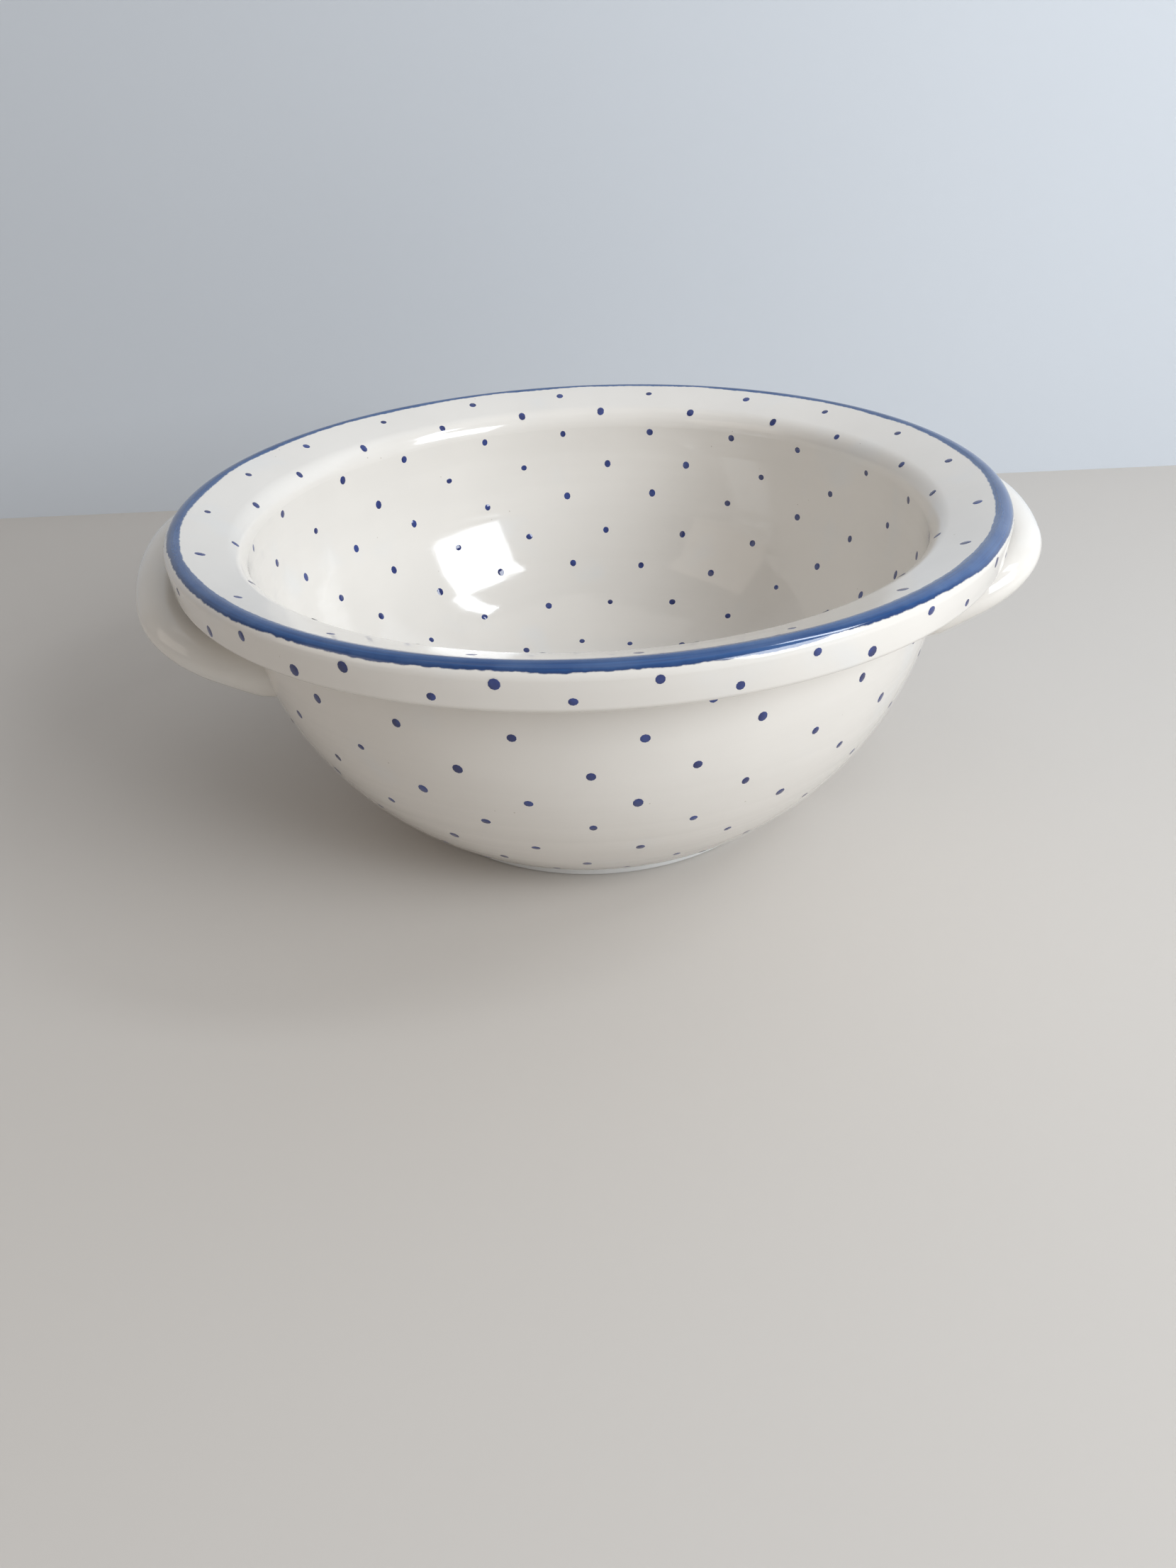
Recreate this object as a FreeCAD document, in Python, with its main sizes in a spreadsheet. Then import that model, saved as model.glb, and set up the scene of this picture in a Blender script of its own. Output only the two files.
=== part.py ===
"""Punch bowl in glazed stoneware: a thrown bowl on a foot ring, with a flared collar and two loop handles.

The origin is the centre of the foot ring's standing plane. +Z is up, and the handles lie towards -X and +X.
"""
import FreeCAD, Part
import math
import os

import Sketcher
from FreeCAD import Placement, Rotation, Vector

# Driving dimensions in millimetres and degrees, each written once.
SIZES = {
    "overall_height": 122.5,      # standing plane to the top of the lip
    "rim_radius": 150.0,          # widest point of the rolled lip
    "rim_overhang": 19.6,         # widest point of the lip beyond the widest point of the wall
    "collar_height": 14.0,        # collar's seat on the wall to the top of the lip
    "belly_height": 101.8,        # height of the wall's widest point
    "wall": 6.0,                  # thickness of the thrown wall
    "floor_thick": 7.0,           # thickness of the floor
    "floor_bend": 70.0,           # inside radius where the floor turns up into the wall
    "shoulder_round": 9.0,        # inside radius of the collar's shoulder
    "lip_round": 4.0,             # radius of the rolled lip
    "collar_edge": 2.0,           # rounding of the collar's lower edge
    "collar_flare": 4.0,          # lean of the collar's outer face from upright, degrees
    "foot_radius": 79.0,          # outside of the foot ring
    "foot_set": 3.0,              # foot ring's outside in from the wall's lower edge
    "foot_width": 8.0,            # width of the foot ring
    "foot_height": 5.0,           # height of the foot ring
    "foot_edge": 1.5,             # rounding of the foot ring's standing edges
    "handle_gap": 1.5,            # collar's lower edge down to a handle's upper side, level with the lip
    "left_stand": 9.1,            # lip's widest point out to the left handle's centre line at its tip
    "right_stand": 9.1,           # the same for the right handle
    "handle_lean": 22.0,          # rise of the handle's plane outwards, degrees
    "handle_sweep": 120.0,        # radius of the centre line round the tip
    "handle_turn": 30.0,          # radius of the centre line where it turns back to the wall
    "left_half": 80.0,            # half of the left handle's length along the rim
    "right_half": 65.0,           # half of the right handle's length along the rim
    "handle_width": 17.5,         # handle's section, measured outwards
    "handle_thick": 15.0,         # handle's section, measured up
    "root_turn": 160.0,           # where the centre line ends inside the wall, degrees round its last arc
    "left_place": 170.0,          # direction of the left handle round the bowl, degrees
    "right_place": 11.0,          # direction of the right handle round the bowl, degrees
}

# Sizes that follow from the ones above, so that pieces stay joined when one of those changes.
FOLLOWING = {
    "seat_height": "overall_height - collar_height",
    "belly_radius": "rim_radius - rim_overhang",
    "underside": "foot_radius + foot_set",
    "belly_spread": "belly_radius - underside",
    "belly_rise": "belly_height - foot_height",
    "belly_curve": "(belly_spread * belly_spread + belly_rise * belly_rise) / (2 * belly_spread)",
    "left_reach": "(rim_overhang + left_stand) / cos(handle_lean * 1 deg)",
    "right_reach": "(rim_overhang + right_stand) / cos(handle_lean * 1 deg)",
    "handle_top": "handle_thick / 2 / cos(handle_lean * 1 deg) + rim_overhang * tan(handle_lean * 1 deg)",
    "handle_height": "seat_height - handle_gap - handle_top",
}

START, END, CENTRE = 1, 2, 3      # the points of a sketched edge, as Sketcher numbers them
UPRIGHT = -2                      # the sketch's vertical axis
ORIGIN = (-1, 1)                  # the sketch's origin point

# Formulas that pieces share where they meet.
WALL_CENTRE = "(sizes.belly_radius - sizes.belly_curve)"
INSIDE_CURVE = "(sizes.belly_curve - sizes.wall)"
SEAT_RISE = "(sizes.seat_height - sizes.belly_height)"
SEAT_INSIDE = f"{WALL_CENTRE} + sqrt({INSIDE_CURVE} * {INSIDE_CURVE} - {SEAT_RISE} * {SEAT_RISE})"

DOC = FreeCAD.newDocument("punch_bowl")
SHEET = DOC.addObject("Spreadsheet::Sheet", "sizes")
for row, alias in enumerate((*SIZES, *FOLLOWING), start=1):
    SHEET.set(f"A{row}", alias)
    SHEET.set(f"B{row}", str(SIZES[alias]) if alias in SIZES else f"={FOLLOWING[alias]}")
    SHEET.setAlias(f"B{row}", alias)
    DOC.recompute()
VALUES = {alias: float(SHEET.get(alias)) for alias in (*SIZES, *FOLLOWING)}


def wall_reach(curve, height):
    """Give the distance from the bowl's axis to a wall arc of this radius at this height."""
    centre = VALUES["belly_radius"] - VALUES["belly_curve"]
    return centre + math.sqrt(curve ** 2 - (height - VALUES["belly_height"]) ** 2)


def start_body(name):
    """Start a body, with the label that names its file."""
    body = DOC.addObject("PartDesign::Body", name)
    body.Label = name
    return body


def add_sketch(body, name, role="XZ_Plane"):
    """Start a sketch on one of the body's own origin planes."""
    sketch = body.newObject("Sketcher::SketchObject", name)
    plane = next(item for item in body.Origin.OriginFeatures if item.Role == role)
    sketch.AttachmentSupport = [(plane, "")]
    sketch.MapMode = "FlatFace"
    return sketch


def on_circle(centre, radius, angle):
    """Give the point of a circle at an angle in radians."""
    return centre[0] + radius * math.cos(angle), centre[1] + radius * math.sin(angle)


def line(sketch, start, end):
    """Draw a straight edge and return its index."""
    return sketch.addGeometry(Part.LineSegment(Vector(*start, 0), Vector(*end, 0)))


def arc(sketch, centre, radius, start, end):
    """Draw an arc anticlockwise between two angles in radians and return its index."""
    circle = Part.Circle(Vector(*centre, 0), Vector(0, 0, 1), radius)
    return sketch.addGeometry(Part.ArcOfCircle(circle, start, end))


def rule(sketch, kind, *places):
    """Add a constraint that needs no size."""
    sketch.addConstraint(Sketcher.Constraint(kind, *places))


def size(sketch, kind, places, near, formula):
    """Add a constraint whose size follows the sheet."""
    index = sketch.addConstraint(Sketcher.Constraint(kind, *places, near))
    sketch.setExpression(f"Constraints[{index}]", formula)


def revolve(body, sketch):
    """Turn a closed sketch once round the bowl's axis."""
    feature = body.newObject("PartDesign::Revolution", f"{body.Name}_turned")
    feature.Profile = sketch
    feature.ReferenceAxis = (sketch, ["V_Axis"])
    feature.Angle = 360.0
    body.Tip = feature
    DOC.recompute()


def outside_arc(sketch):
    """Draw the wall's outside curve from the underside up to the collar's seat, and fix it."""
    curve = VALUES["belly_curve"]
    low = VALUES["foot_height"] - VALUES["belly_height"]
    high = VALUES["seat_height"] - VALUES["belly_height"]
    centre = (VALUES["belly_radius"] - curve, VALUES["belly_height"])
    outer = arc(sketch, centre, curve, math.asin(low / curve), math.asin(high / curve))
    size(sketch, "Radius", (outer,), curve, "sizes.belly_curve")
    size(sketch, "DistanceX", (*ORIGIN, outer, CENTRE), centre[0], WALL_CENTRE)
    size(sketch, "DistanceY", (*ORIGIN, outer, CENTRE), centre[1], "sizes.belly_height")
    size(sketch, "DistanceY", (*ORIGIN, outer, START), VALUES["foot_height"], "sizes.foot_height")
    size(sketch, "DistanceY", (*ORIGIN, outer, END), VALUES["seat_height"], "sizes.seat_height")
    return outer


def make_wall():
    """Build the thrown bowl: an even wall that thickens into a flat floor, open at the collar's seat."""
    body = start_body("bowl_body")
    sketch = add_sketch(body, "bowl_section")
    outer = outside_arc(sketch)
    foot = VALUES["foot_height"]
    floor = foot + VALUES["floor_thick"]
    bend = VALUES["floor_bend"]
    inside = VALUES["belly_curve"] - VALUES["wall"]
    centre = (VALUES["belly_radius"] - VALUES["belly_curve"], VALUES["belly_height"])
    drop = centre[1] - (floor + bend)
    across = math.sqrt((inside - bend) ** 2 - drop ** 2)
    slope = -math.atan2(drop, across)
    bend_centre = (centre[0] + across, floor + bend)
    high = math.asin((VALUES["seat_height"] - centre[1]) / inside)
    seat_in = wall_reach(inside, VALUES["seat_height"])
    seat_out = wall_reach(VALUES["belly_curve"], VALUES["seat_height"])
    under = line(sketch, (0, foot), (wall_reach(VALUES["belly_curve"], foot), foot))
    seat = line(sketch, (seat_out, VALUES["seat_height"]), (seat_in, VALUES["seat_height"]))
    inner = arc(sketch, centre, inside, slope, high)
    corner = arc(sketch, bend_centre, bend, -math.pi / 2, slope)
    level = line(sketch, (bend_centre[0], floor), (0, floor))
    middle = line(sketch, (0, floor), (0, foot))
    rule(sketch, "Coincident", under, END, outer, START)
    rule(sketch, "Coincident", outer, END, seat, START)
    rule(sketch, "Coincident", seat, END, inner, END)
    rule(sketch, "Tangent", inner, START, corner, END)
    rule(sketch, "Tangent", corner, START, level, START)
    rule(sketch, "Coincident", level, END, middle, START)
    rule(sketch, "Coincident", middle, END, under, START)
    rule(sketch, "Coincident", inner, CENTRE, outer, CENTRE)
    rule(sketch, "PointOnObject", under, START, UPRIGHT)
    rule(sketch, "PointOnObject", level, END, UPRIGHT)
    rule(sketch, "Horizontal", under)
    rule(sketch, "Horizontal", seat)
    rule(sketch, "Horizontal", level)
    size(sketch, "Radius", (inner,), inside, INSIDE_CURVE)
    size(sketch, "Radius", (corner,), bend, "sizes.floor_bend")
    size(sketch, "DistanceY", (*ORIGIN, level, START), floor, "sizes.foot_height + sizes.floor_thick")
    revolve(body, sketch)
    return body


def make_collar():
    """Build the collar: a shoulder that rolls out to the lip, and an upright outer face."""
    body = start_body("rim_collar")
    sketch = add_sketch(body, "collar_section")
    seat = VALUES["seat_height"]
    seat_in = wall_reach(VALUES["belly_curve"] - VALUES["wall"], seat)
    shoulder = VALUES["shoulder_round"]
    lip = VALUES["lip_round"]
    edge = VALUES["collar_edge"]
    flare = math.radians(VALUES["collar_flare"])
    shoulder_centre = (seat_in + shoulder, seat)
    lip_centre = (VALUES["rim_radius"] - lip, VALUES["overall_height"] - lip)
    run = lip_centre[0] - shoulder_centre[0]
    rise = lip_centre[1] - shoulder_centre[1]
    slope = math.atan2(rise, run) - math.asin((shoulder - lip) / math.hypot(run, rise))
    normal = slope + math.pi / 2
    face_top = on_circle(lip_centre, lip, -flare)
    edge_height = seat + edge
    fall = face_top[1] - edge_height
    edge_centre = (face_top[0] - fall * math.tan(flare) - edge / math.cos(flare), edge_height)
    shoulder_arc = arc(sketch, shoulder_centre, shoulder, normal, math.pi)
    band = line(sketch, on_circle(shoulder_centre, shoulder, normal), on_circle(lip_centre, lip, normal))
    lip_arc = arc(sketch, lip_centre, lip, -flare, normal)
    face = line(sketch, face_top, on_circle(edge_centre, edge, -flare))
    edge_arc = arc(sketch, edge_centre, edge, -math.pi / 2, -flare)
    under = line(sketch, (edge_centre[0], seat), (seat_in, seat))
    rule(sketch, "Tangent", shoulder_arc, START, band, START)
    rule(sketch, "Tangent", band, END, lip_arc, END)
    rule(sketch, "Tangent", lip_arc, START, face, START)
    rule(sketch, "Tangent", face, END, edge_arc, END)
    rule(sketch, "Tangent", edge_arc, START, under, START)
    rule(sketch, "Coincident", under, END, shoulder_arc, END)
    rule(sketch, "Horizontal", under)
    size(sketch, "DistanceX", (*ORIGIN, under, END), seat_in, SEAT_INSIDE)
    size(sketch, "DistanceY", (*ORIGIN, under, END), seat, "sizes.seat_height")
    size(sketch, "Radius", (shoulder_arc,), shoulder, "sizes.shoulder_round")
    size(sketch, "DistanceY", (*ORIGIN, shoulder_arc, CENTRE), seat, "sizes.seat_height")
    size(sketch, "Radius", (lip_arc,), lip, "sizes.lip_round")
    size(sketch, "DistanceX", (*ORIGIN, lip_arc, CENTRE), lip_centre[0],
         "sizes.rim_radius - sizes.lip_round")
    size(sketch, "DistanceY", (*ORIGIN, lip_arc, CENTRE), lip_centre[1],
         "sizes.overall_height - sizes.lip_round")
    size(sketch, "Radius", (edge_arc,), edge, "sizes.collar_edge")
    size(sketch, "Angle", (face,), -math.pi / 2 - flare, "-90 deg - sizes.collar_flare * 1 deg")
    revolve(body, sketch)
    return body


def make_foot():
    """Build the foot ring: a flat hoop whose standing edges are rounded."""
    body = start_body("foot_ring")
    sketch = add_sketch(body, "foot_plan", "XY_Plane")
    outside = VALUES["foot_radius"]
    hoops = {
        "sizes.foot_radius": outside,
        "sizes.foot_radius - sizes.foot_width": outside - VALUES["foot_width"],
    }
    for formula, radius in hoops.items():
        hoop = sketch.addGeometry(Part.Circle(Vector(0, 0, 0), Vector(0, 0, 1), radius))
        rule(sketch, "Coincident", hoop, CENTRE, *ORIGIN)
        size(sketch, "Radius", (hoop,), radius, formula)
    pad = body.newObject("PartDesign::Pad", "foot_height")
    pad.Profile = sketch
    pad.setExpression("Length", "sizes.foot_height")
    DOC.recompute()
    standing = [f"Edge{number}" for number, edge in enumerate(pad.Shape.Edges, start=1)
                if edge.BoundBox.ZMax < VALUES["foot_height"] / 2]
    fillet = body.newObject("PartDesign::Fillet", "foot_edges")
    fillet.Base = (pad, standing)
    fillet.setExpression("Radius", "sizes.foot_edge")
    body.Tip = fillet
    DOC.recompute()
    return body


def make_outside():
    """Build the solid that fills the bowl out to its outer surface, which trims what meets the wall."""
    body = start_body("wall_outside")
    sketch = add_sketch(body, "outside_section")
    outer = outside_arc(sketch)
    foot = VALUES["foot_height"]
    seat = VALUES["seat_height"]
    under = line(sketch, (0, foot), (wall_reach(VALUES["belly_curve"], foot), foot))
    top = line(sketch, (wall_reach(VALUES["belly_curve"], seat), seat), (0, seat))
    middle = line(sketch, (0, seat), (0, foot))
    rule(sketch, "Coincident", under, END, outer, START)
    rule(sketch, "Coincident", outer, END, top, START)
    rule(sketch, "Coincident", top, END, middle, START)
    rule(sketch, "Coincident", middle, END, under, START)
    rule(sketch, "PointOnObject", under, START, UPRIGHT)
    rule(sketch, "PointOnObject", top, END, UPRIGHT)
    rule(sketch, "Horizontal", under)
    rule(sketch, "Horizontal", top)
    revolve(body, sketch)
    return body


def make_handle(side, outside):
    """Build one loop handle: an oval rod swept from its tip to the wall, mirrored and trimmed."""
    blank = start_body(f"{side}_loop")
    reach = VALUES[f"{side}_reach"]
    sweep = VALUES["handle_sweep"]
    turn = VALUES["handle_turn"]
    half = VALUES[f"{side}_half"]
    section = add_sketch(blank, f"{side}_section")
    radii = (VALUES["handle_width"] / 2, VALUES["handle_thick"] / 2)
    oval = Part.Ellipse(Vector(reach, 0, 0), *radii)
    rod = section.addGeometry(oval)
    section.exposeInternalGeometry(rod)
    size(section, "DistanceX", (*ORIGIN, rod, CENTRE), reach, f"sizes.{side}_reach")
    rule(section, "PointOnObject", rod, CENTRE, -1)
    rule(section, "Horizontal", rod + 1)
    size(section, "Distance", (rod + 1,), 2 * radii[0], "sizes.handle_width")
    size(section, "Distance", (rod + 2,), 2 * radii[1], "sizes.handle_thick")

    route = add_sketch(blank, f"{side}_route", "XY_Plane")
    angle = math.asin((half - turn) / (sweep - turn))
    tip_centre = (reach - sweep, 0)
    turn_centre = (tip_centre[0] + (sweep - turn) * math.cos(angle), half - turn)
    tip = arc(route, tip_centre, sweep, 0, angle)
    root = math.radians(VALUES["root_turn"])
    side_arc = arc(route, turn_centre, turn, angle, root)
    rule(route, "Tangent", tip, END, side_arc, START)
    rule(route, "PointOnObject", tip, START, -1)
    rule(route, "PointOnObject", tip, CENTRE, -1)
    size(route, "Radius", (tip,), sweep, "sizes.handle_sweep")
    size(route, "DistanceX", (*ORIGIN, tip, START), reach, f"sizes.{side}_reach")
    size(route, "Radius", (side_arc,), turn, "sizes.handle_turn")
    size(route, "DistanceY", (*ORIGIN, side_arc, CENTRE), half - turn,
         f"sizes.{side}_half - sizes.handle_turn")
    size(route, "DistanceX", (side_arc, END, side_arc, CENTRE), -turn * math.cos(root),
         "-sizes.handle_turn * cos(sizes.root_turn * 1 deg)")
    DOC.recompute()

    rod_sweep = blank.newObject("PartDesign::AdditivePipe", f"{side}_rod")
    rod_sweep.Profile = section
    rod_sweep.Spine = (route, ["Edge1", "Edge2"])
    blank.Tip = rod_sweep
    DOC.recompute()
    both = blank.newObject("PartDesign::Mirrored", f"{side}_both")
    both.Originals = [rod_sweep]
    both.MirrorPlane = (route, ["H_Axis"])
    blank.Tip = both
    lean = Rotation(Vector(0, -1, 0), VALUES["handle_lean"])
    place = Rotation(Vector(0, 0, 1), VALUES[f"{side}_place"])
    seated = Placement(Vector(VALUES["belly_radius"], 0, VALUES["handle_height"]), lean)
    blank.Placement = Placement(Vector(0, 0, 0), place).multiply(seated)

    handle = DOC.addObject("Part::Cut", f"handle_{side}")
    handle.Base = blank
    handle.Tool = outside
    handle.Label = f"handle_{side}"
    DOC.recompute()
    return handle


def check(document):
    """Stop if any object of the document failed or holds a bad shape."""
    for item in document.Objects:
        if "Invalid" in item.State or "Error" in item.State:
            raise RuntimeError(f"{item.Name} failed to build: {item.State}")


def write(pieces):
    """Check each piece and write it to a file named after it."""
    os.makedirs("parts", exist_ok=True)
    for piece in pieces:
        if piece.Shape.isNull() or not piece.Shape.isValid() or not piece.Shape.Solids:
            raise RuntimeError(f"{piece.Label} has no valid solid")
    for piece in pieces:
        piece.Shape.exportStep(os.path.join("parts", f"{piece.Label}.step"))
        print(piece.Label, len(piece.Shape.Solids), round(piece.Shape.Volume / 1000, 2), "cm3")


def main():
    """Build every piece, check the document and write the pieces out."""
    pieces = [make_wall(), make_collar(), make_foot()]
    outside = make_outside()
    pieces += [make_handle(side, outside) for side in ("left", "right")]
    DOC.recompute()
    check(DOC)
    write(pieces)


main()
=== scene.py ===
"""Punch bowl in glazed stoneware: builds the looks of the thrown bowl, its rim, foot, handles and painted dots."""

import logging
import math
import random
from dataclasses import dataclass, field
from enum import Enum

import bmesh
import bpy
from mathutils import Matrix, Vector, noise

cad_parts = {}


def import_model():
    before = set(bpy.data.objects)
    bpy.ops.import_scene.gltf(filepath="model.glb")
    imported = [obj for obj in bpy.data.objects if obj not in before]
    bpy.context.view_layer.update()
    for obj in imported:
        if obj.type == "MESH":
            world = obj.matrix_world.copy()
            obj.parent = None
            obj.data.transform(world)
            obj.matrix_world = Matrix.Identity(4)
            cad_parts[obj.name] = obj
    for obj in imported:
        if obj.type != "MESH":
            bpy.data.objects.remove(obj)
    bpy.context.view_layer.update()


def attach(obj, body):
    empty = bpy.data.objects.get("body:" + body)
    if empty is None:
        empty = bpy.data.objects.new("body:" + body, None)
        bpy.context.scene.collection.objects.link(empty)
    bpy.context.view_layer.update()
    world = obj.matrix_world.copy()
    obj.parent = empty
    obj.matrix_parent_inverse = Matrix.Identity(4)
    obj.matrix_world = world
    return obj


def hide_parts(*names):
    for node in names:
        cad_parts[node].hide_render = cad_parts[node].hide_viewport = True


LOG = logging.getLogger("punch_bowl")
MM = 0.001
SHARP_ANGLE = 40.0      # degrees between faces beyond which an edge is crisp
AXIS_CLEAR = 20.0       # millimetres round the axis that the hand leaves flat
Section = list[tuple[float, float]]


def arc(centre: tuple[float, float], radius: float, start: float, end: float, steps: int) -> Section:
    """Give the points of a round stretch of a section.

    Args:
        centre: Middle of the arc, as distance from the axis and height.
        radius: Radius of the arc.
        start: First angle in degrees, from outwards, anticlockwise.
        end: Last angle in degrees.
        steps: Number of edges along the arc.

    Returns:
        The arc's points from start to end.
    """
    turns = [math.radians(start + (end - start) * step / steps) for step in range(steps + 1)]
    return [(centre[0] + radius * math.cos(turn), centre[1] + radius * math.sin(turn)) for turn in turns]


@dataclass(frozen=True)
class Form:
    """The bowl's sizes in millimetres, as it was thrown."""

    height: float = 122.5
    rim: float = 150.0
    belly: float = 130.4
    belly_height: float = 101.8
    belly_curve: float = 121.0
    wall: float = 6.0
    floor: float = 12.0
    floor_bend: float = 70.0
    seat: float = 108.5
    shoulder: float = 9.0
    lip: float = 4.0
    collar_edge: float = 2.0
    flare: float = 4.0
    foot: float = 79.0
    foot_width: float = 8.0
    foot_height: float = 5.0
    foot_edge: float = 1.5

    @property
    def middle(self) -> tuple[float, float]:
        """Give the centre of the wall's curve."""
        return self.belly - self.belly_curve, self.belly_height

    def reach(self, curve: float, height: float) -> float:
        """Give the distance from the axis to a wall arc of this radius at this height."""
        return self.middle[0] + math.sqrt(curve**2 - (height - self.middle[1]) ** 2)

    def angle(self, curve: float, height: float) -> float:
        """Give the angle in degrees at which a wall arc of this radius reaches this height."""
        return math.degrees(math.asin((height - self.middle[1]) / curve))

    def outside(self) -> Section:
        """Give the wall's outside from the underside's edge up to the collar's seat."""
        low, high = self.angle(self.belly_curve, self.foot_height), self.angle(self.belly_curve, self.seat)
        return arc(self.middle, self.belly_curve, low, high, 56)

    def inside(self) -> Section:
        """Give the inside from the collar's seat down the wall and round to the middle of the floor."""
        curve = self.belly_curve - self.wall
        drop = self.middle[1] - self.floor - self.floor_bend
        across = math.sqrt((curve - self.floor_bend) ** 2 - drop**2)
        slope = -math.degrees(math.atan2(drop, across))
        corner = (self.middle[0] + across, self.floor + self.floor_bend)
        wall = arc(self.middle, curve, self.angle(curve, self.seat), slope, 40)
        bend = arc(corner, self.floor_bend, slope, -90.0, 32)
        level = [(corner[0] * share, self.floor) for share in (0.75, 0.5, 0.25, 0.0)]
        return wall + bend[1:] + level

    def collar(self) -> Section:
        """Give the collar's section from its inner seat over the shoulder and lip and back under the edge."""
        seat_in = self.reach(self.belly_curve - self.wall, self.seat)
        shoulder = (seat_in + self.shoulder, self.seat)
        lip = (self.rim - self.lip, self.height - self.lip)
        run, rise = lip[0] - shoulder[0], lip[1] - shoulder[1]
        slope = math.atan2(rise, run) - math.asin((self.shoulder - self.lip) / math.hypot(run, rise))
        normal = 90.0 + math.degrees(slope)
        flare = math.radians(self.flare)
        top = (lip[0] + self.lip * math.cos(flare), lip[1] - self.lip * math.sin(flare))
        level = self.seat + self.collar_edge
        back = (top[1] - level) * math.tan(flare) + self.collar_edge / math.cos(flare)
        edge = (top[0] - back, level)
        points = arc(shoulder, self.shoulder, 180.0, normal, 16) + arc(lip, self.lip, normal, -self.flare, 20)
        return points + arc(edge, self.collar_edge, -self.flare, -90.0, 8) + [(self.belly, self.seat)]

    def foot_ring(self) -> Section:
        """Give the foot ring's section, once round."""
        inner, edge = self.foot - self.foot_width, self.foot_edge
        outside = arc((self.foot - edge, edge), edge, 0.0, -90.0, 5)
        inside = arc((inner + edge, edge), edge, -90.0, -180.0, 5)
        return [(self.foot, self.foot_height)] + outside + inside + [(inner, self.foot_height)]


@dataclass(frozen=True)
class HandleForm:
    """One loop handle's sizes in millimetres and degrees, as it was pulled and bent."""

    node: str
    place: float
    half: float
    stand: float
    belly: float = 130.4
    overhang: float = 19.6
    underseat: float = 107.0
    lean: float = 22.0
    sweep: float = 120.0
    turn: float = 30.0
    width: float = 17.5
    thick: float = 15.0

    @property
    def reach(self) -> float:
        """Give the distance along the loop's plane from the wall to the centre line at the tip."""
        return (self.overhang + self.stand) / math.cos(math.radians(self.lean))

    @property
    def height(self) -> float:
        """Give the height at which the loop's plane meets the wall."""
        lean = math.radians(self.lean)
        return self.underseat - self.thick / 2 / math.cos(lean) - self.overhang * math.tan(lean)

    def stations(self, end: float, steps: int) -> list[tuple[Vector, float]]:
        """Give the centre line's points and headings from the tip round to one root.

        Args:
            end: Angle in degrees, round the last bend, where the rod stops inside the wall.
            steps: Number of stations along each bend.

        Returns:
            Points in the loop's own plane, each with its heading in radians.
        """
        start = math.asin((self.half - self.turn) / (self.sweep - self.turn))
        bend = Vector((self.reach - self.sweep + (self.sweep - self.turn) * math.cos(start), self.half - self.turn, 0))
        found = []
        for step in range(steps + 1):
            angle = start * step / steps
            place = Vector((self.reach - self.sweep + self.sweep * math.cos(angle), self.sweep * math.sin(angle), 0))
            found.append((place, angle))
        for step in range(1, steps + 1):
            angle = start + (math.radians(end) - start) * step / steps
            found.append((bend + self.turn * Vector((math.cos(angle), math.sin(angle), 0)), angle))
        return found

    def seat(self) -> Matrix:
        """Give the transform from the loop's own plane to the bowl, still in millimetres."""
        lean = Matrix.Rotation(math.radians(-self.lean), 4, "Y")
        lift = Matrix.Translation((self.belly, 0.0, self.height))
        return Matrix.Rotation(math.radians(self.place), 4, "Z") @ lift @ lean


class Side(Enum):
    """The two sides of the wall that carry painted dots."""

    OUTSIDE = "outside"
    INSIDE = "inside"


@dataclass(frozen=True)
class DotRow:
    """One ring of painted dots: its height, its first dot's direction and how many it holds."""

    side: Side
    height: float
    first: float
    count: int


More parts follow.
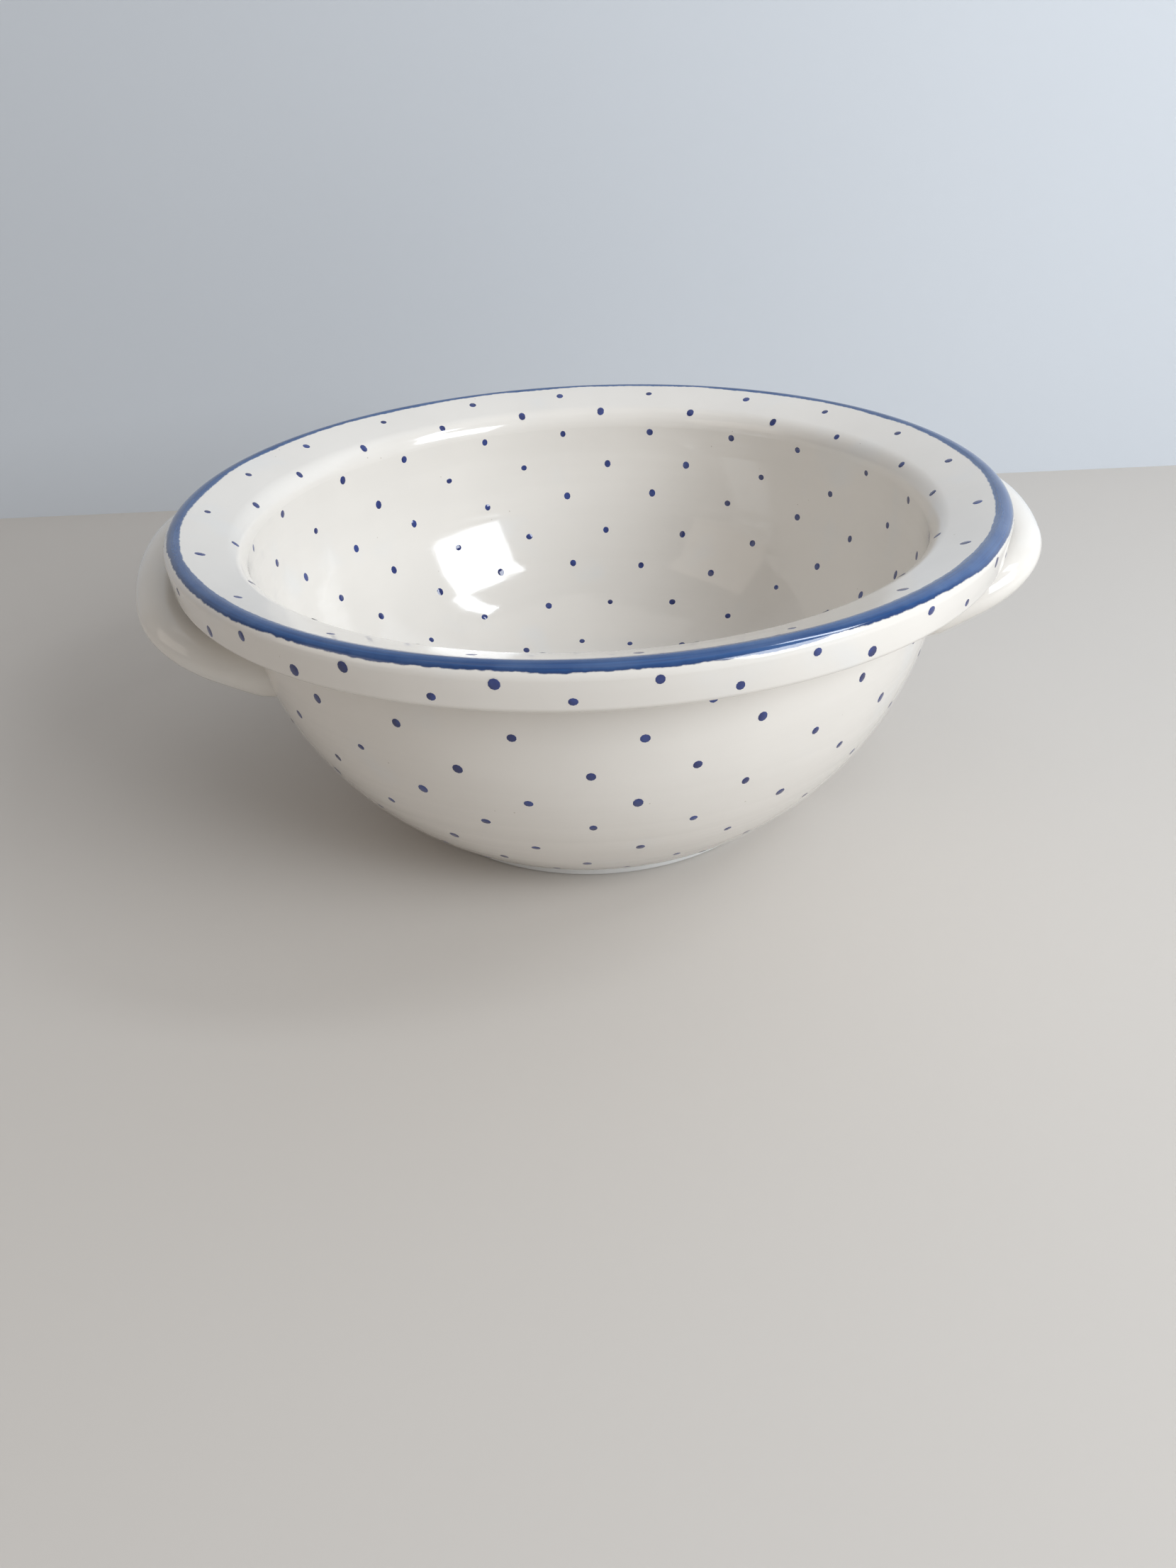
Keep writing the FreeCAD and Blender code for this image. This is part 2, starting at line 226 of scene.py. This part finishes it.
class Nodes:
    """A material's node tree, with short ways to add and join its nodes."""

    def __init__(self, name: str) -> None:
        """Start a material with nothing but its output."""
        self.material = bpy.data.materials.new(name)
        self.material.use_nodes = True
        self.tree = self.material.node_tree
        self.tree.nodes.clear()
        self.output = self.tree.nodes.new("ShaderNodeOutputMaterial")

    def add(self, kind: str, **settings: object) -> bpy.types.Node:
        """Add a node of a kind, with its settings."""
        node = self.tree.nodes.new(f"ShaderNode{kind}")
        for name, value in settings.items():
            setattr(node, name, value)
        return node

    def link(self, source: bpy.types.NodeSocket, target: bpy.types.NodeSocket) -> None:
        """Join one socket to another."""
        self.tree.links.new(source, target)

    def place(self) -> bpy.types.NodeSocket:
        """Give the surface point in the object's own coordinates."""
        return self.add("TexCoord").outputs["Object"]

    def maths(self, operation: str, *values: object, clamp: bool = False) -> bpy.types.NodeSocket:
        """Add a sum on numbers or sockets.

        Args:
            operation: The sum's name.
            values: Numbers or sockets, in order.
            clamp: Whether the result is kept between 0 and 1.

        Returns:
            The result's socket.
        """
        node = self.add("Math", operation=operation, use_clamp=clamp)
        for socket, value in zip(node.inputs, values):
            if isinstance(value, bpy.types.NodeSocket):
                self.link(value, socket)
            else:
                socket.default_value = value
        return node.outputs[0]

    def step(self, value: bpy.types.NodeSocket, low: float, high: float) -> bpy.types.NodeSocket:
        """Give a smooth step from 0 at the low value to 1 at the high one."""
        node = self.add("MapRange", interpolation_type="SMOOTHSTEP")
        self.link(value, node.inputs["Value"])
        node.inputs["From Min"].default_value = low
        node.inputs["From Max"].default_value = high
        return node.outputs["Result"]

    def noise(self, place: bpy.types.NodeSocket, scale: float, detail: float = 2.0) -> bpy.types.NodeSocket:
        """Give a noise value of this many waves a metre."""
        node = self.add("TexNoise")
        self.link(place, node.inputs["Vector"])
        node.inputs["Scale"].default_value = scale
        node.inputs["Detail"].default_value = detail
        return node.outputs["Fac"]

    def stretch(self, place: bpy.types.NodeSocket, factors: tuple[float, float, float]) -> bpy.types.NodeSocket:
        """Scale coordinates unevenly, so that a pattern runs along one way."""
        node = self.add("Mapping")
        self.link(place, node.inputs["Vector"])
        node.inputs["Scale"].default_value = factors
        return node.outputs["Vector"]

    def mix(self, share: object, first: object, second: object) -> bpy.types.NodeSocket:
        """Mix two colours, each a socket or red, green and blue.

        Args:
            share: How much of the second colour shows.
            first: The first colour.
            second: The second colour.

        Returns:
            The mixed colour's socket.
        """
        node = self.add("Mix", data_type="RGBA")
        for socket, value in ((node.inputs[0], share), (node.inputs[6], first), (node.inputs[7], second)):
            if isinstance(value, bpy.types.NodeSocket):
                self.link(value, socket)
            elif isinstance(value, tuple):
                socket.default_value = (*value, 1.0)
            else:
                socket.default_value = value
        return node.outputs[2]

    def bump(self, height: bpy.types.NodeSocket, depth: float) -> bpy.types.NodeSocket:
        """Turn a height into a bent normal, with the depth in metres."""
        node = self.add("Bump")
        node.inputs["Strength"].default_value = 1.0
        node.inputs["Distance"].default_value = depth
        self.link(height, node.inputs["Height"])
        return node.outputs["Normal"]


@dataclass(frozen=True)
class Glaze:
    """The clear glaze over pale slip that covers every piece."""

    name: str
    base: tuple[float, float, float] = (0.77, 0.735, 0.685)
    pooled: tuple[float, float, float] = (0.70, 0.715, 0.72)
    rough: float = 0.07

    def colour(self, nodes: Nodes, place: bpy.types.NodeSocket) -> bpy.types.NodeSocket:
        """Give the glaze's colour: broad warm and cool drifts, and fine dark specks from the clay."""
        drift = nodes.step(nodes.noise(place, 14.0, 3.0), 0.35, 0.7)
        shade = nodes.mix(drift, self.base, tuple(channel * 0.955 for channel in self.base))
        pool = nodes.step(nodes.noise(place, 32.0, 2.0), 0.58, 0.78)
        shade = nodes.mix(nodes.maths("MULTIPLY", pool, 0.35), shade, self.pooled)
        cells = nodes.add("TexVoronoi", feature="F1")
        nodes.link(place, cells.inputs["Vector"])
        cells.inputs["Scale"].default_value = 190.0
        near = nodes.maths("LESS_THAN", cells.outputs["Distance"], 0.055)
        some = nodes.maths("GREATER_THAN", nodes.noise(place, 61.0, 1.0), 0.62)
        speck = nodes.maths("MULTIPLY", nodes.maths("MULTIPLY", near, some), 0.45)
        return nodes.mix(speck, shade, (0.30, 0.24, 0.17))

    def relief(self, nodes: Nodes, place: bpy.types.NodeSocket) -> bpy.types.NodeSocket:
        """Give the surface's height: throwing rings, a slow waviness and a fine ripple of the glaze."""
        rings = nodes.noise(nodes.stretch(place, (6.0, 6.0, 150.0)), 1.0, 2.0)
        waves = nodes.noise(place, 28.0, 1.0)
        ripple = nodes.noise(place, 260.0, 1.0)
        body = nodes.maths("ADD", nodes.maths("MULTIPLY", rings, 0.30), nodes.maths("MULTIPLY", waves, 0.62))
        return nodes.maths("ADD", body, nodes.maths("MULTIPLY", ripple, 0.02))

    def finish(self, nodes: Nodes, colour: bpy.types.NodeSocket, place: bpy.types.NodeSocket) -> bpy.types.Material:
        """Join a colour to a glossy coat over the slip.

        Args:
            nodes: The material's tree.
            colour: The colour's socket.
            place: The surface point's socket.

        Returns:
            The finished material.
        """
        shader = nodes.add("BsdfPrincipled")
        nodes.link(colour, shader.inputs["Base Color"])
        spread = nodes.noise(place, 45.0, 2.0)
        nodes.link(nodes.maths("MULTIPLY_ADD", spread, 0.06, self.rough), shader.inputs["Roughness"])
        shader.inputs["IOR"].default_value = 1.52
        shader.inputs["Coat Weight"].default_value = 0.35
        shader.inputs["Coat Roughness"].default_value = 0.04
        nodes.link(nodes.bump(self.relief(nodes, place), 0.0006), shader.inputs["Normal"])
        nodes.link(shader.outputs[0], nodes.output.inputs["Surface"])
        return nodes.material

    def make(self) -> bpy.types.Material:
        """Make the plain glaze."""
        nodes = Nodes(self.name)
        place = nodes.place()
        return self.finish(nodes, self.colour(nodes, place), place)


@dataclass(frozen=True)
class BandGlaze(Glaze):
    """The glaze with a brushed cobalt band over the lip."""

    cobalt: tuple[float, float, float] = (0.018, 0.078, 0.235)
    heavy: tuple[float, float, float] = (0.008, 0.030, 0.115)
    thin: tuple[float, float, float] = (0.080, 0.145, 0.290)
    inner: float = 143.7 * MM
    outer: float = 120.9 * MM

    def make(self) -> bpy.types.Material:
        """Make the glaze with its band: brush-marked, darker at its outer edge, thinner at its inner one."""
        nodes = Nodes(self.name)
        place = nodes.place()
        parts = nodes.add("SeparateXYZ")
        nodes.link(place, parts.inputs[0])
        across = nodes.maths("POWER", parts.outputs["X"], 2.0)
        along = nodes.maths("POWER", parts.outputs["Y"], 2.0)
        radius = nodes.maths("SQRT", nodes.maths("ADD", across, along))
        height = parts.outputs["Z"]
        wobble = nodes.maths("MULTIPLY_ADD", nodes.noise(place, 26.0, 3.0), 0.0024, -0.0012)
        ragged = nodes.maths("MULTIPLY_ADD", nodes.noise(place, 420.0, 2.0), 0.0008, -0.0004)
        side = nodes.maths("MULTIPLY", parts.outputs["X"], 0.0045)
        inward = nodes.maths("ADD", nodes.maths("ADD", radius, wobble), ragged)
        lower = nodes.maths("ADD", nodes.maths("ADD", height, side), nodes.maths("ADD", wobble, ragged))
        from_inner = nodes.step(inward, self.inner - 0.0002, self.inner + 0.0003)
        from_outer = nodes.step(lower, self.outer - 0.0002, self.outer + 0.0002)
        band = nodes.maths("MULTIPLY", from_inner, from_outer)
        turn = nodes.maths("ARCTAN2", parts.outputs["Y"], parts.outputs["X"])
        brush = nodes.add("CombineXYZ")
        nodes.link(nodes.maths("MULTIPLY", turn, 3.0), brush.inputs["X"])
        nodes.link(nodes.maths("MULTIPLY", radius, 1500.0), brush.inputs["Y"])
        nodes.link(nodes.maths("MULTIPLY", height, 1500.0), brush.inputs["Z"])
        strokes = nodes.step(nodes.noise(brush.outputs[0], 1.0, 4.0), 0.32, 0.72)
        blotch = nodes.step(nodes.noise(place, 75.0, 3.0), 0.35, 0.70)
        tone = nodes.mix(nodes.maths("MULTIPLY", strokes, 0.55), self.cobalt, self.heavy)
        tone = nodes.mix(nodes.maths("MULTIPLY", blotch, 0.35), tone, self.thin)
        rim = nodes.maths("SUBTRACT", 1.0, nodes.step(lower, self.outer, self.outer + 0.0011))
        tone = nodes.mix(nodes.maths("MULTIPLY", rim, 0.75), tone, self.heavy)
        thin = nodes.maths("SUBTRACT", 1.0, nodes.step(inward, self.inner, self.inner + 0.0012))
        tone = nodes.mix(nodes.maths("MULTIPLY", thin, 0.45), tone, self.thin)
        return self.finish(nodes, nodes.mix(band, self.colour(nodes, place), tone), place)


@dataclass(frozen=True)
class DotPaint(Glaze):
    """The cobalt of the painted dots, under the same gloss."""

    base: tuple[float, float, float] = (0.013, 0.022, 0.115)

    def colour(self, nodes: Nodes, place: bpy.types.NodeSocket) -> bpy.types.NodeSocket:
        """Give the dots' colour, which runs from near black to a clearer blue."""
        load = nodes.step(nodes.noise(place, 160.0, 2.0), 0.35, 0.70)
        return nodes.mix(load, self.base, (0.030, 0.055, 0.220))


class TurnedPiece:
    """A piece turned once round the bowl's axis from its section."""

    def __init__(self, name: str, node: str, slot: str, section: Section, closed: bool, steps: int = 192) -> None:
        """Keep the section and its names.

        Args:
            name: The object's name.
            node: The structural piece it stands for.
            slot: The finish it carries; not used.
            section: The section's points in millimetres.
            closed: Whether the section closes on itself, as a ring's does.
            steps: Number of steps round the bowl.
        """
        self.name, self.node, self.slot = name, node, slot
        self.section, self.closed, self.steps = section, closed, steps

    def build(self, hand: "Hand") -> bpy.types.Object:
        """Turn the section, give it the thrower's unevenness and add it to the scene.

        Args:
            hand: How the thrower's hands left the clay.

        Returns:
            The finished object.
        """
        mesh = bmesh.new()
        verts = [mesh.verts.new((radius * MM, 0.0, height * MM)) for radius, height in self.section]
        pairs = list(zip(verts, verts[1:])) + ([(verts[-1], verts[0])] if self.closed else [])
        edges = [mesh.edges.new(pair) for pair in pairs]
        bmesh.ops.spin(mesh, geom=verts + edges, axis=(0, 0, 1), cent=(0, 0, 0), dvec=(0, 0, 0),
                       angle=math.tau, steps=self.steps, use_merge=True, use_duplicate=False)
        bmesh.ops.remove_doubles(mesh, verts=mesh.verts[:], dist=1e-6)
        bmesh.ops.recalc_face_normals(mesh, faces=mesh.faces[:])
        for vert in mesh.verts:
            vert.co = hand.pressed(vert.co)
        return add_object(self.name, mesh, self.node)


@dataclass(frozen=True)
class Hand:
    """The unevenness that throwing leaves: soft rings and a body slightly out of round."""

    ring_depth: float = 0.16 * MM
    round_depth: float = 0.30 * MM
    seed: Vector = field(default_factory=lambda: Vector((3.1, 7.7, 1.9)))

    def pressed(self, place: Vector) -> Vector:
        """Press a point of the wall inwards a little, the same for every piece that meets there.

        Args:
            place: The point in metres.

        Returns:
            The pressed point, never farther out than it was.
        """
        radius = math.hypot(place.x, place.y)
        if radius < AXIS_CLEAR * MM:
            return place
        way = Vector((place.x, place.y, 0.0)) / radius
        rings = noise.noise(Vector((way.x * 0.7, way.y * 0.7, place.z * 210.0)) + self.seed)
        broad = noise.noise(Vector((way.x * 1.3, way.y * 1.3, place.z * 9.0)) - self.seed)
        depth = self.ring_depth * (0.5 + 0.5 * rings) + self.round_depth * (0.5 + 0.5 * broad)
        return place - way * depth


def add_object(name: str, mesh: bmesh.types.BMesh, node: str) -> bpy.types.Object:
    """Turn a finished mesh into a shaded object that stands for a structural piece.

    Args:
        name: The object's name.
        mesh: The working mesh, which is freed.
        node: The structural piece it replaces, or nothing for a decoration.

    Returns:
        The object.
    """
    data = bpy.data.meshes.new(name)
    mesh.to_mesh(data)
    mesh.free()
    data.shade_smooth()
    data.set_sharp_from_angle(angle=math.radians(SHARP_ANGLE))
    piece = bpy.data.objects.new(name, data)
    bpy.context.scene.collection.objects.link(piece)
    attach(piece, "root")
    if node:
        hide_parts(node)
    LOG.info("%s: %d faces", name, len(data.polygons))
    return piece


class LoopHandle:
    """A pulled oval rod bent into a loop and luted to the wall at both ends."""

    last_bend = 142.0       # degrees round the last bend at which the rod ends
    swell = 0.22            # share by which slip thickens the rod at the wall
    swell_run = 11.0        # millimetres over which it does so

    def __init__(self, form: HandleForm, bowl: Form) -> None:
        """Keep the loop's sizes and the bowl it joins."""
        self.form, self.bowl = form, bowl

    def depth(self, place: Vector) -> float:
        """Give how far a point lies outside the wall's outer surface, in millimetres."""
        radius = math.hypot(place.x, place.y)
        centre = self.bowl.middle
        return math.hypot(radius - centre[0], place.z - centre[1]) - self.bowl.belly_curve

    def build(self, name: str, around: int = 32) -> bpy.types.Object:
        """Sweep the rod from one root over the tip to the other, and seat it on the wall.

        Args:
            name: The object's name.
            around: Number of points round the rod's section.

        Returns:
            The finished handle.
        """
        half = self.form.stations(self.last_bend, 30)
        route = [(Vector((place.x, -place.y, 0)), -angle) for place, angle in reversed(half[1:])] + half
        seat = self.form.seat()
        mesh = bmesh.new()
        ring = bmesh.ops.create_circle(mesh, cap_ends=True, segments=around, radius=1.0)["verts"]
        faces = list(ring[0].link_faces)
        unit = [vert.co.copy() for vert in ring]
        self.put(ring, unit, route[0], seat)
        for station in route[1:]:
            moved = bmesh.ops.extrude_face_region(mesh, geom=faces)["geom"]
            old = faces
            ring = [item for item in moved if isinstance(item, bmesh.types.BMVert)]
            faces = [item for item in moved if isinstance(item, bmesh.types.BMFace)]
            order = list(faces[0].verts)
            if station is not route[1]:
                bmesh.ops.delete(mesh, geom=old, context="FACES_ONLY")
            self.put(order, unit, station, seat)
        bmesh.ops.remove_doubles(mesh, verts=mesh.verts[:], dist=1e-7)
        bmesh.ops.recalc_face_normals(mesh, faces=mesh.faces[:])
        return add_object(name, mesh, self.form.node)

    def put(self, ring: list, unit: list[Vector], station: tuple[Vector, float], seat: Matrix) -> None:
        """Lay one ring of the rod across its route.

        Args:
            ring: The ring's points, in order.
            unit: The unit circle's points, in the same order.
            station: Where the ring's centre lies in the loop's plane, and its heading.
            seat: The transform from the loop's plane to the bowl.
        """
        place, angle = station
        out = Vector((math.cos(angle), math.sin(angle), 0.0))
        near = 1.0 - min(max(self.depth(seat @ place) / self.swell_run, 0.0), 1.0)
        swell = 1.0 + self.swell * near**2
        pulled = noise.noise(place * 0.035 + Vector((self.form.place, 0, 0)))
        wide = self.form.width / 2 * (0.985 + 0.015 * pulled) * swell
        thick = self.form.thick / 2 * (0.98 + 0.02 * pulled) * swell
        for vert, point in zip(ring, unit):
            local = place + out * (point.x * wide) + Vector((0.0, 0.0, point.y * thick))
            vert.co = self.luted(seat @ local) * MM

    def luted(self, place: Vector, bite: float = 2.5) -> Vector:
        """Keep a point from going deeper into the wall than the joint does.

        Args:
            place: The point in millimetres.
            bite: How deep the joint goes under the wall's outer surface.

        Returns:
            The point, or the nearest one at the joint's depth.
        """
        over = -bite - self.depth(place)
        if over <= 0.0:
            return place
        radius = math.hypot(place.x, place.y)
        away = Vector((radius - self.bowl.middle[0], place.z - self.bowl.middle[1])).normalized() * over
        return Vector((place.x * (1.0 + away.x / radius), place.y * (1.0 + away.x / radius), place.z + away.y))


class PaintedDots:
    """Rows of small dots in relief, painted round one side of the bowl."""

    rise = 0.13             # millimetres a dot stands out of the glaze
    height_spread = 0.9     # millimetres a dot strays up or down
    turn_spread = 1.3       # degrees a dot strays round the bowl
    collar_from = 104.0     # height above which dots keep to their row

    def __init__(self, name: str, rows: list[DotRow], sections: list[Section], hand: Hand, seed: int) -> None:
        """Keep the rows, the surfaces they are painted on and the painter's chance."""
        self.name, self.rows, self.sections, self.hand = name, rows, sections, hand
        self.chance = random.Random(seed)

    def station(self, height: float) -> tuple[Vector, Vector]:
        """Find where a row meets its surface.

        Args:
            height: Its height in millimetres, or minus its radius on the floor.

        Returns:
            The point and the outward normal in the section's plane.
        """
        axis, value = ("z", height) if height >= 0 else ("x", -height)
        for section in self.sections:
            for (r0, z0), (r1, z1) in zip(section, section[1:]):
                low, high = sorted((z0, z1) if axis == "z" else (r0, r1))
                if low <= value <= high and high > low and (axis == "z" or z0 < 20.0):
                    share = (value - z0) / (z1 - z0) if axis == "z" else (value - r0) / (r1 - r0)
                    place = Vector((r0 + (r1 - r0) * share, 0.0, z0 + (z1 - z0) * share))
                    return place, Vector((z1 - z0, 0.0, r0 - r1)).normalized()
        raise ValueError(f"no surface at {height}")

    def build(self) -> bpy.types.Object:
        """Lay every dot as a shallow dome set half into the glaze, and add them as one object."""
        mesh = bmesh.new()
        for row in self.rows:
            for number in range(row.count):
                stray = self.chance.uniform(-self.height_spread, self.height_spread)
                place, normal = self.station(row.height + stray * (row.height < self.collar_from))
                drift = self.chance.uniform(-self.turn_spread, self.turn_spread)
                turn = math.radians(row.first + 360.0 * number / row.count + drift)
                spin = Matrix.Rotation(turn, 4, "Z")
                spot = self.hand.pressed(spin @ place * MM)
                tilt = (spin.to_3x3() @ normal).to_track_quat("Z", "Y").to_matrix().to_4x4()
                wide = self.chance.uniform(1.30, 1.75) * MM
                stretch = Matrix.Diagonal((wide, wide * self.chance.uniform(0.85, 1.25), self.rise * MM, 1.0))
                bmesh.ops.create_uvsphere(mesh, u_segments=10, v_segments=4, radius=1.0,
                                          matrix=Matrix.Translation(spot) @ tilt @ stretch)
        bmesh.ops.recalc_face_normals(mesh, faces=mesh.faces[:])
        return add_object(self.name, mesh, "")


@dataclass(frozen=True)
class Lamp:
    """A soft studio lamp: where it hangs, what it faces, its size, power and colour."""

    name: str
    place: tuple[float, float, float]
    aim: tuple[float, float, float]
    size: tuple[float, float]
    power: float
    colour: tuple[float, float, float]

    def hang(self) -> None:
        """Add the lamp to the scene."""
        light = bpy.data.lights.new(self.name, "AREA")
        light.shape = "RECTANGLE"
        light.size, light.size_y = self.size
        light.energy, light.color = self.power, self.colour
        lamp = bpy.data.objects.new(self.name, light)
        lamp.location = self.place
        lamp.rotation_euler = (Vector(self.aim) - Vector(self.place)).to_track_quat("-Z", "Y").to_euler()
        bpy.context.scene.collection.objects.link(lamp)


class Studio:
    """The floor, the backdrop, the lamps and the camera."""

    def surface(self, name: str, corners: tuple[float, float, float, float], turn: Matrix,
                colour: tuple[float, float, float]) -> None:
        """Add a flat staged surface that can be looked through from behind.

        Args:
            name: The surface's name.
            corners: Its low and high ends along its own two axes, in metres.
            turn: Where it stands.
            colour: Its plain colour.
        """
        mesh = bmesh.new()
        bmesh.ops.create_grid(mesh, x_segments=1, y_segments=1, size=1.0)
        low_x, high_x, low_y, high_y = corners
        for vert in mesh.verts:
            across, along = (high_x if vert.co.x > 0 else low_x), (high_y if vert.co.y > 0 else low_y)
            vert.co = turn @ Vector((across, along, 0.0))
        data = bpy.data.meshes.new(name)
        mesh.to_mesh(data)
        mesh.free()
        item = bpy.data.objects.new(name, data)
        bpy.context.scene.collection.objects.link(item)
        nodes = Nodes(name)
        shader = nodes.add("BsdfPrincipled")
        tint = nodes.mix(nodes.noise(nodes.place(), 3.0), colour, tuple(channel * 0.96 for channel in colour))
        nodes.link(tint, shader.inputs["Base Color"])
        shader.inputs["Roughness"].default_value = 0.75
        see_through = nodes.add("MixShader")
        nodes.link(nodes.add("NewGeometry").outputs["Backfacing"], see_through.inputs[0])
        nodes.link(shader.outputs[0], see_through.inputs[1])
        nodes.link(nodes.add("BsdfTransparent").outputs[0], see_through.inputs[2])
        nodes.link(see_through.outputs[0], nodes.output.inputs["Surface"])
        data.materials.append(nodes.material)

    def camera(self) -> None:
        """Set the camera in front of the bowl, above it and looking down."""
        pitch, roll, pan = math.radians(33.22), math.radians(-2.80), math.radians(-0.62)
        ahead = Vector((math.sin(pan) * math.cos(pitch), math.cos(pan) * math.cos(pitch), -math.sin(pitch)))
        right = Vector((math.cos(pan), -math.sin(pan), 0.0))
        above = right.cross(ahead)
        side = math.cos(roll) * right + math.sin(roll) * above
        top = -math.sin(roll) * right + math.cos(roll) * above
        lens = bpy.data.cameras.new("front_view")
        lens.lens, lens.sensor_width = 24.966, 36.0
        lens.clip_start = 0.02
        camera = bpy.data.objects.new("front_view", lens)
        turn = Matrix((side, top, -ahead)).transposed()
        camera.matrix_world = Matrix.Translation((0.0, -0.3963, 0.2487)) @ turn.to_4x4()
        bpy.context.scene.collection.objects.link(camera)
        bpy.context.scene.camera = camera

    def build(self) -> None:
        """Set out the whole studio."""
        self.surface("floor", (-2.0, 2.0, -2.0, 0.36), Matrix.Identity(4), (0.60, 0.565, 0.525))
        wall = Matrix.Translation((0.0, 0.36, 0.0)) @ Matrix.Rotation(math.radians(90.0), 4, "X")
        self.surface("backdrop", (-2.0, 2.0, 0.0, 1.6), wall, (0.60, 0.635, 0.68))
        lamps = (
            Lamp("right_window", (1.05, -0.80, 0.75), (0.0, 0.0, 0.05), (0.8, 0.8), 19.0, (0.90, 0.95, 1.0)),
            Lamp("overhead", (0.1, 0.1, 1.5), (0.0, 0.0, 0.1), (1.2, 1.2), 1.8, (1.0, 0.97, 0.93)),
            Lamp("left_fill", (-1.2, -0.6, 0.7), (0.0, 0.0, 0.06), (0.9, 0.9), 1.8, (1.0, 0.88, 0.76)),
            Lamp("tall_strip", (0.55, -0.15, 0.75), (-0.1, 0.05, 0.08), (0.10, 0.30), 1.2, (0.88, 0.94, 1.0)),
        )
        for lamp in lamps:
            lamp.hang()
        self.camera()
        world = bpy.data.worlds.new("studio")
        world.use_nodes = True
        world.node_tree.nodes["Background"].inputs["Color"].default_value = (0.93, 0.91, 0.90, 1.0)
        world.node_tree.nodes["Background"].inputs["Strength"].default_value = 0.35
        bpy.context.scene.world = world
        bpy.context.scene.view_settings.view_transform = "Standard"


class PunchBowl:
    """The whole bowl: wall, rim, foot, two handles and the painted dots."""

    def __init__(self) -> None:
        """Set out the shape and the hand that threw it."""
        self.form, self.hand = Form(), Hand()

    def rows(self, side: Side) -> list[DotRow]:
        """Give one side's rows of dots, from the rim down; a floor ring's height is minus its radius."""
        if side is Side.OUTSIDE:
            heights = (117.7, 112.5, 100.0, 89.0, 75.0, 62.5, 50.0, 36.0, 23.0, 13.0)
            firsts = (260.0, 252.0, 252.0, 260.0, 252.0, 260.0, 252.0, 260.0, 252.0, 260.0)
            return [DotRow(side, height, first, 22) for height, first in zip(heights, firsts)]
        heights = (120.0, 115.0, 106.0, 91.0, 77.0, 61.0, 46.5, 32.0, 19.0)
        found = [DotRow(side, height, 13.0 if row % 2 else 4.0, 20) for row, height in enumerate(heights)]
        return found + [DotRow(side, -45.0, 10.0, 14), DotRow(side, -29.0, 4.0, 9), DotRow(side, -14.0, 0.0, 5)]

    def build(self) -> None:
        """Build every piece."""
        form = self.form
        wall = form.outside()
        pieces = (
            TurnedPiece("thrown_wall", "bowl_body", "white_glaze",
                        [(0.0, form.foot_height), (40.0, form.foot_height), (70.0, form.foot_height)]
                        + wall + form.inside(), False),
            TurnedPiece("rolled_rim", "rim_collar", "rim_glaze", form.collar(), True),
            TurnedPiece("turned_foot", "foot_ring", "foot_glaze", form.foot_ring(), True),
        )
        for piece in pieces:
            piece.build(self.hand)
        LoopHandle(HandleForm("handle_left", 170.0, 80.0, 9.1), form).build("loop_left")
        LoopHandle(HandleForm("handle_right", 11.0, 65.0, 9.1), form).build("loop_right")
        collar = form.collar()
        top = max(range(len(collar)), key=lambda index: collar[index][1])
        outer = [collar[:top:-1], wall[::-1]]
        inner = [form.inside()[::-1], collar[:top + 1]]
        PaintedDots("dots_outside", self.rows(Side.OUTSIDE), outer, self.hand, 11).build()
        PaintedDots("dots_inside", self.rows(Side.INSIDE), inner, self.hand, 23).build()

    def dress(self) -> None:
        """Give each piece its own glaze."""
        glazes = {
            "thrown_wall": Glaze("wall_glaze"),
            "rolled_rim": BandGlaze("banded_glaze"),
            # the foot ring's glaze is darker and greyer than the wall's, with a rougher gloss
            "turned_foot": Glaze("darker_foot_glaze", (0.70, 0.70, 0.69), (0.62, 0.655, 0.69), 0.16),
            "loop_left": Glaze("left_loop_glaze", (0.77, 0.74, 0.69)),
            "loop_right": Glaze("right_loop_glaze"),
            "dots_outside": DotPaint("outside_cobalt"),
            "dots_inside": DotPaint("inside_cobalt"),
        }
        for name, glaze in glazes.items():
            bpy.data.objects[name].data.materials.append(glaze.make())


def main() -> None:
    """Build and dress the bowl and set the studio."""
    logging.basicConfig(level=logging.INFO, format="%(message)s")
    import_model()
    bowl = PunchBowl()
    bowl.build()
    bowl.dress()
    Studio().build()


if __name__ == "__main__":
    main()
